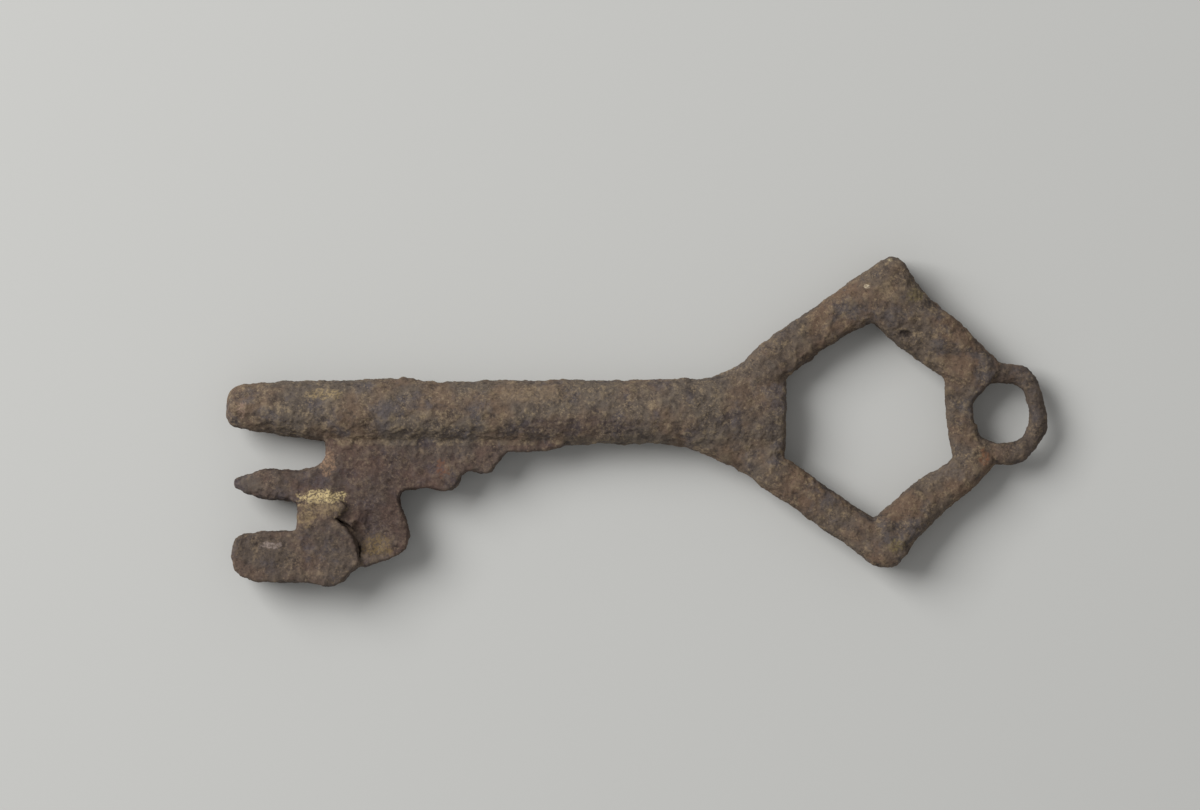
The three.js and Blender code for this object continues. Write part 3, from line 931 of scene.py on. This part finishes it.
class NodeBench:
    """Places nodes in one tree and joins them."""

    # The colour sockets of the mixing node, which has other kinds of sockets before them
    mix_first = 6
    mix_second = 7
    mix_result = 2

    def __init__(self, tree: bpy.types.NodeTree) -> None:
        """Starts from an empty tree."""
        self.tree = tree
        tree.nodes.clear()

    def feed(self, socket: bpy.types.NodeSocket, value: object) -> None:
        """Links a socket to another one, or sets it to a plain value or a colour.

        Args:
            socket: The input to feed.
            value: A socket, a plain value or a colour.
        """
        if isinstance(value, bpy.types.NodeSocket):
            self.tree.links.new(value, socket)
        elif socket.type == "RGBA" and len(value) == 3:
            socket.default_value = (*value, 1.0)
        else:
            socket.default_value = value

    def add(self, kind: str, links: dict[str | int, object] | None = None,
            **settings: object) -> bpy.types.Node:
        """Adds a node.

        Args:
            kind: The node's type.
            links: What goes into its inputs: a socket to link, or a plain value.
            **settings: Values of the node's own properties.

        Returns:
            The node.
        """
        node = self.tree.nodes.new(kind)
        for name, value in settings.items():
            setattr(node, name, value)
        for key, value in (links or {}).items():
            self.feed(node.inputs[key], value)
        return node

    def noise(self, where: bpy.types.NodeSocket, noise: Noise) -> bpy.types.NodeSocket:
        """Adds a noise and gives its value.

        Args:
            where: The place on the surface.
            noise: What the noise is like.

        Returns:
            The noise's value.
        """
        node = self.add("ShaderNodeTexNoise", {
            "Vector": where, "Scale": 1 / (noise.size * MM), "Detail": noise.detail,
            "Roughness": noise.rough,
        })
        return node.outputs["Fac"]

    def share(self, value: bpy.types.NodeSocket, spread: Spread) -> bpy.types.NodeSocket:
        """Turns a value into a share, smoothly and held at both ends.

        Args:
            value: The value to turn.
            spread: The ends of both.

        Returns:
            The share.
        """
        node = self.add("ShaderNodeMapRange", {
            "Value": value, "From Min": spread.start, "From Max": spread.full,
            "To Min": spread.least, "To Max": spread.most,
        }, interpolation_type="SMOOTHSTEP")
        return node.outputs["Result"]

    def maths(self, how: str, first: object, second: object) -> bpy.types.NodeSocket:
        """Works out one value from two."""
        return self.add("ShaderNodeMath", {0: first, 1: second}, operation=how).outputs[0]

    def mix(self, share: object, first: object, second: object) -> bpy.types.NodeSocket:
        """Mixes two colours.

        Args:
            share: How much of the second colour there is.
            first: The first colour.
            second: The second colour.

        Returns:
            The mixed colour.
        """
        node = self.add("ShaderNodeMix", data_type="RGBA")
        self.feed(node.inputs["Factor"], share)
        self.feed(node.inputs[self.mix_first], first)
        self.feed(node.inputs[self.mix_second], second)
        return node.outputs[self.mix_result]


@dataclass
class Group:
    """A node group under construction, with its bench, its input node and its output node."""

    tree: bpy.types.NodeTree
    bench: NodeBench
    given: bpy.types.Node
    result: bpy.types.Node

    @classmethod
    def start(cls, name: str, inputs: dict[str, str], outputs: dict[str, str]) -> "Group":
        """Starts a node group with named sockets.

        Args:
            name: The group's name.
            inputs: Socket names with their types.
            outputs: Socket names with their types.

        Returns:
            The group, empty but for its input and output nodes.
        """
        tree = bpy.data.node_groups.new(name, "ShaderNodeTree")
        for socket, kind in inputs.items():
            tree.interface.new_socket(name=socket, in_out="INPUT", socket_type=kind)
        for socket, kind in outputs.items():
            tree.interface.new_socket(name=socket, in_out="OUTPUT", socket_type=kind)
        bench = NodeBench(tree)
        return cls(tree, bench, bench.add("NodeGroupInput"), bench.add("NodeGroupOutput"))

    def finish(self, name: str, value: bpy.types.NodeSocket) -> bpy.types.NodeTree:
        """Links the group's result and gives its tree."""
        self.bench.feed(self.result.inputs[name], value)
        return self.tree


COLOUR_NAMES = ("Body", "Warm", "Dark", "Pale", "Cool")


def rust_mottle() -> bpy.types.NodeTree:
    """Builds the mottling of corroded iron: five colours over the surface at six sizes.

    Returns:
        The node group.
    """
    group = Group.start(
        "rust_mottle",
        {"Vector": "NodeSocketVector", "Relief": "NodeSocketFloat",
         **{name: "NodeSocketColor" for name in COLOUR_NAMES}},
        {"Color": "NodeSocketColor"},
    )
    bench = group.bench
    given = group.given.outputs
    where = given["Vector"]
    drifts = bench.share(bench.noise(where, DRIFTS), DRIFT_SPREAD)
    colour = given["Body"]
    for layer in MOTTLE:
        share = bench.share(bench.noise(where, layer.noise), layer.spread)
        if layer.in_drifts:
            share = bench.maths("MULTIPLY", share, drifts)
        colour = bench.mix(share, colour, given[layer.colour])
    colour = bench.mix(bench.share(given["Relief"], HOLLOW_STAIN), colour, given["Dark"])
    colour = bench.mix(bench.share(given["Relief"], CROWN_WEAR), colour, given["Pale"])
    return group.finish("Color", colour)


def crust_and_painted_light_patch() -> bpy.types.NodeTree:
    """Builds the mask of a patch round a point, worn and with a ragged edge, for crust and stains
    and for painted highlights and painted shade.

    Returns:
        The node group.
    """
    group = Group.start(
        "crust_and_painted_light_patch",
        {"Vector": "NodeSocketVector", "Centre": "NodeSocketVector", "Radii": "NodeSocketVector",
         "Ragged": "NodeSocketFloat"},
        {"Mask": "NodeSocketFloat"},
    )
    bench = group.bench
    given = group.given.outputs
    where = given["Vector"]
    away = bench.add("ShaderNodeVectorMath", {0: where, 1: given["Centre"]}, operation="SUBTRACT")
    shares = bench.add(
        "ShaderNodeVectorMath", {0: away.outputs[0], 1: given["Radii"]}, operation="DIVIDE",
    )
    reach = bench.add("ShaderNodeVectorMath", {0: shares.outputs[0]}, operation="LENGTH")
    edge = bench.maths("SUBTRACT", bench.noise(where, PATCH_EDGE), NOISE_MIDDLE)
    moved = bench.maths("MULTIPLY", edge, given["Ragged"])
    cover = bench.share(bench.maths("ADD", reach.outputs["Value"], moved), PATCH_COVER)
    worn = bench.share(bench.noise(where, PATCH_WEAR), PATCH_WEAR_SPREAD)
    return group.finish("Mask", bench.maths("MULTIPLY", cover, worn))


def rough_grain() -> bpy.types.NodeTree:
    """Builds the finest relief of the iron, too small for the mesh, as a height.

    Returns:
        The node group.
    """
    group = Group.start(
        "rough_grain", {"Vector": "NodeSocketVector"}, {"Height": "NodeSocketFloat"},
    )
    bench = group.bench
    where = group.given.outputs["Vector"]
    coarse = bench.maths("MULTIPLY", bench.noise(where, COARSE_GRAIN), COARSE_SHARE)
    fine = bench.maths("MULTIPLY", bench.noise(where, FINE_GRAIN), FINE_SHARE)
    return group.finish("Height", bench.maths("ADD", coarse, fine))


@dataclass(frozen=True)
class Patch:
    """A patch of other colour on the iron, round a place on the key. Most are crust, rust and
    stains; a few are painted highlights and painted shade.
    """

    centre: Place
    radii: Place
    colour: Colour
    strength: float
    ragged: float


PATCHES = (
    Patch((28.0, -14.5, 7.0), (17.0, 8.5, 9.0), srgb(74, 56, 50), 0.45, 2.4),
    # Painted shadow: the hollow right of the foot's open seam darkened, where the foot's shadow
    # falls
    Patch((27.5, -16.0, 7.0), (4.0, 7.5, 9.0), srgb(58, 48, 44), 0.5, 2.0),
    # Painted shade: a darker band along the shank below its middle line, on the side turned away
    # from the lamp
    Patch((60.5, -2.4, 9.0), (11.0, 1.7, 6.0), srgb(60, 48, 50), 0.6, 2.2),
    # A paler tan streak on the upper side of the shank: tan streaks, and painted light where that
    # side faces the lamp
    Patch((52.0, 3.0, 9.0), (8.0, 1.4, 5.0), srgb(136, 116, 92), 0.5, 2.4),
    Patch((17.0, 3.0, 9.0), (3.0, 0.9, 4.0), srgb(168, 146, 104), 0.55, 2.6),
    # Painted highlight: a pinkish lit spot on the rounded tip of the shank
    Patch((2.6, 0.4, 7.5), (1.1, 1.3, 3.0), srgb(158, 132, 116), 0.5, 2.2),
    # Painted shade: the flatter web darker than the round shank, where it catches no highlight
    Patch((90.0, 2.0, 8.4), (6.0, 7.0, 5.0), srgb(72, 60, 54), 0.4, 2.4),
    Patch((16.2, -14.5, 8.2), (4.0, 1.3, 2.5), srgb(198, 178, 132), 0.95, 2.2),
    Patch((16.4, -16.4, 8.4), (3.8, 1.5, 2.5), srgb(150, 130, 98), 0.6, 2.6),
    Patch((13.6, -17.8, 8.4), (1.6, 2.0, 2.5), srgb(146, 126, 94), 0.6, 2.6),
    Patch((17.2, -8.6, 6.0), (1.5, 2.4, 4.5), srgb(150, 122, 98), 0.75, 2.2),
    Patch((25.6, -22.9, 6.5), (3.0, 2.0, 3.0), srgb(122, 102, 66), 0.65, 2.4),
    Patch((36.8, -9.6, 7.6), (1.2, 1.4, 2.0), srgb(124, 82, 56), 0.5, 2.4),
    Patch((7.6, -22.7, 9.3), (1.7, 0.6, 1.5), srgb(164, 148, 140), 0.6, 2.6),
    Patch((4.0, -12.3, 7.0), (2.2, 1.6, 4.0), srgb(92, 84, 76), 0.6, 1.6),
    Patch((109.2, 21.4, 8.4), (0.6, 0.35, 1.6), srgb(206, 192, 164), 0.9, 1.6),
    Patch((113.1, 26.0, 7.4), (0.5, 0.4, 1.6), srgb(186, 172, 138), 0.7, 1.6),
    Patch((129.2, -7.8, 6.8), (1.0, 1.4, 1.8), srgb(128, 82, 54), 0.6, 2.4),
    Patch((113.8, -22.8, 8.0), (1.5, 1.2, 2.0), srgb(122, 108, 68), 0.6, 2.6),
    Patch((117.6, 20.0, 8.0), (1.7, 1.3, 2.0), srgb(116, 104, 66), 0.5, 2.6),
    Patch((112.6, 20.8, 8.6), (1.4, 1.8, 2.0), srgb(140, 122, 96), 0.5, 2.6),
    Patch((122.2, -10.2, 7.2), (4.5, 1.6, 2.0), srgb(104, 94, 88), 0.5, 2.2),
    # Painted shade: near-black colour laid into the deep pit of the upper side
    Patch((115.9, 13.3, 8.0), (1.1, 0.6, 1.6), srgb(38, 32, 32), 0.7, 1.2),
)


class IronWorks:
    """Builds the iron of every slot from the same three groups."""

    def __init__(self) -> None:
        """Builds the groups."""
        self.mottle = rust_mottle()
        self.patch = crust_and_painted_light_patch()
        self.grain = rough_grain()

    def material(self, finish: IronFinish) -> bpy.types.Material:
        """Builds one stretch of corroded iron.

        Args:
            finish: Its colours and roughness.

        Returns:
            The material.
        """
        material = bpy.data.materials.new(finish.slot)
        material.use_nodes = True
        bench = NodeBench(material.node_tree)
        where = bench.add("ShaderNodeTexCoord").outputs["Object"]
        relief = bench.add("ShaderNodeAttribute", attribute_name="relief").outputs["Fac"]
        rust = bench.add("ShaderNodeGroup", node_tree=self.mottle)
        bench.feed(rust.inputs["Vector"], where)
        bench.feed(rust.inputs["Relief"], relief)
        for name in COLOUR_NAMES:
            bench.feed(rust.inputs[name], getattr(finish, name.lower()))
        colour = rust.outputs["Color"]
        # Patches of crust, rust and stain, and a few of painted highlight and painted shade
        for patch in PATCHES:
            mask = bench.add("ShaderNodeGroup", node_tree=self.patch)
            bench.feed(mask.inputs["Vector"], where)
            bench.feed(mask.inputs["Centre"], LAYOUT.place(*patch.centre))
            bench.feed(mask.inputs["Radii"], Vector(patch.radii) * MM)
            bench.feed(mask.inputs["Ragged"], patch.ragged)
            share = bench.maths("MULTIPLY", mask.outputs["Mask"], patch.strength)
            colour = bench.mix(share, colour, patch.colour)
        height = bench.add("ShaderNodeGroup", node_tree=self.grain)
        bench.feed(height.inputs["Vector"], where)
        bump = bench.add("ShaderNodeBump", {
            "Height": height.outputs["Height"], "Strength": finish.grain_strength,
            "Distance": finish.grain_depth * MM,
        })
        roughness = bench.share(relief, Spread(
            finish.hollow_relief, finish.crown_relief,
            finish.hollow_roughness, finish.crown_roughness,
        ))
        shader = bench.add("ShaderNodeBsdfPrincipled", {
            "Base Color": colour, "Roughness": roughness, "Normal": bump.outputs["Normal"],
            "Specular IOR Level": finish.specular,
        })
        bench.add("ShaderNodeOutputMaterial", {"Surface": shader.outputs["BSDF"]})
        return material


@dataclass(frozen=True)
class Studio:
    """The pale floor, the soft light from the left and the camera straight above.

    The view's middle and width are in millimetres on the key, the rest in metres and degrees.
    """

    view_middle: Point = (63.67, 1.2)
    view_width: float = 205.37
    camera_height: float = 1.0
    sensor: float = 36.0
    floor_size: float = 6.0
    floor_colour: Colour = srgb(196, 196, 193)
    floor_roughness: float = 0.9
    floor_specular: float = 0.2
    sky: float = 0.34
    lamp_power: float = 18.6
    lamp_size: float = 0.85
    lamp_distance: float = 1.35
    lamp_elevation: float = 43.0
    lamp_bearing: float = 150.0

    def camera(self) -> None:
        """Hangs the camera over the middle of the picture, looking straight down."""
        data = bpy.data.cameras.new("camera")
        data.sensor_width = self.sensor
        data.lens = self.sensor * self.camera_height / (self.view_width * MM)
        camera = bpy.data.objects.new("camera", data)
        middle = LAYOUT.place(*self.view_middle, BOW_HEIGHT)
        camera.location = middle + Vector((0, 0, self.camera_height))
        bpy.context.scene.collection.objects.link(camera)
        bpy.context.scene.camera = camera

    def floor(self) -> None:
        """Lays the floor and gives it its pale material."""
        bpy.ops.object.select_all(action="DESELECT")
        bpy.ops.mesh.primitive_plane_add(size=self.floor_size)
        floor = named("floor")
        material = bpy.data.materials.new("floor_paper")
        material.use_nodes = True
        bench = NodeBench(material.node_tree)
        shader = bench.add("ShaderNodeBsdfPrincipled", {
            "Base Color": self.floor_colour, "Roughness": self.floor_roughness,
            "Specular IOR Level": self.floor_specular,
        })
        bench.add("ShaderNodeOutputMaterial", {"Surface": shader.outputs["BSDF"]})
        floor.data.materials.append(material)

    def lamp(self) -> None:
        """Hangs the soft lamp to the left of the key and behind it."""
        data = bpy.data.lights.new("soft_lamp", "AREA")
        data.shape = "SQUARE"
        data.size = self.lamp_size
        data.energy = self.lamp_power
        lamp = bpy.data.objects.new("soft_lamp", data)
        bearing = math.radians(self.lamp_bearing)
        rise = math.radians(self.lamp_elevation)
        direction = Vector((
            math.cos(bearing) * math.cos(rise), math.sin(bearing) * math.cos(rise), math.sin(rise),
        ))
        lamp.location = direction * self.lamp_distance
        lamp.rotation_euler = direction.to_track_quat("Z", "Y").to_euler()
        bpy.context.scene.collection.objects.link(lamp)

    def surroundings(self) -> None:
        """Lights the key softly from all round, and shows a plain pale backdrop."""
        world = bpy.data.worlds.new("studio")
        world.use_nodes = True
        bench = NodeBench(world.node_tree)
        path = bench.add("ShaderNodeLightPath")
        light = bench.add("ShaderNodeBackground", {"Color": (1, 1, 1), "Strength": self.sky})
        shown = bench.add("ShaderNodeBackground", {"Color": self.floor_colour, "Strength": 1.0})
        chosen = bench.add("ShaderNodeMixShader", {
            0: path.outputs["Is Camera Ray"], 1: light.outputs[0], 2: shown.outputs[0],
        })
        bench.add("ShaderNodeOutputWorld", {"Surface": chosen.outputs[0]})
        bpy.context.scene.world = world

    def build(self) -> None:
        """Sets up the whole studio."""
        self.camera()
        self.floor()
        self.lamp()
        self.surroundings()
        bpy.context.scene.view_settings.view_transform = "Standard"


def main() -> None:
    """Builds the key piece by piece, dresses it and sets up the studio."""
    logging.basicConfig(level=logging.INFO, format="%(message)s")
    Studio().build()
    shank, bow, loop, bit = Shank(), Bow(), HangingLoop(), Bit()
    skin = Skin([*shank.blanks(), *bow.blanks(), *loop.blanks(), *bit.blanks()])
    skin.weld(loop.cutters())
    skin.wear([*bit.cutters(), *bow.cutters()])
    skin.corrode()
    skin.lay_down()
    log.info("skin: %d faces", len(skin.body.data.polygons))
    parting = Parting(skin)
    works = IronWorks()
    materials = {finish.slot: works.material(finish) for finish in FINISHES}
    for forging in (loop, bow, bit, shank):
        for part in forging.pieces:
            forging.dress(parting.take(part), part, materials)


if __name__ == "__main__":
    main()
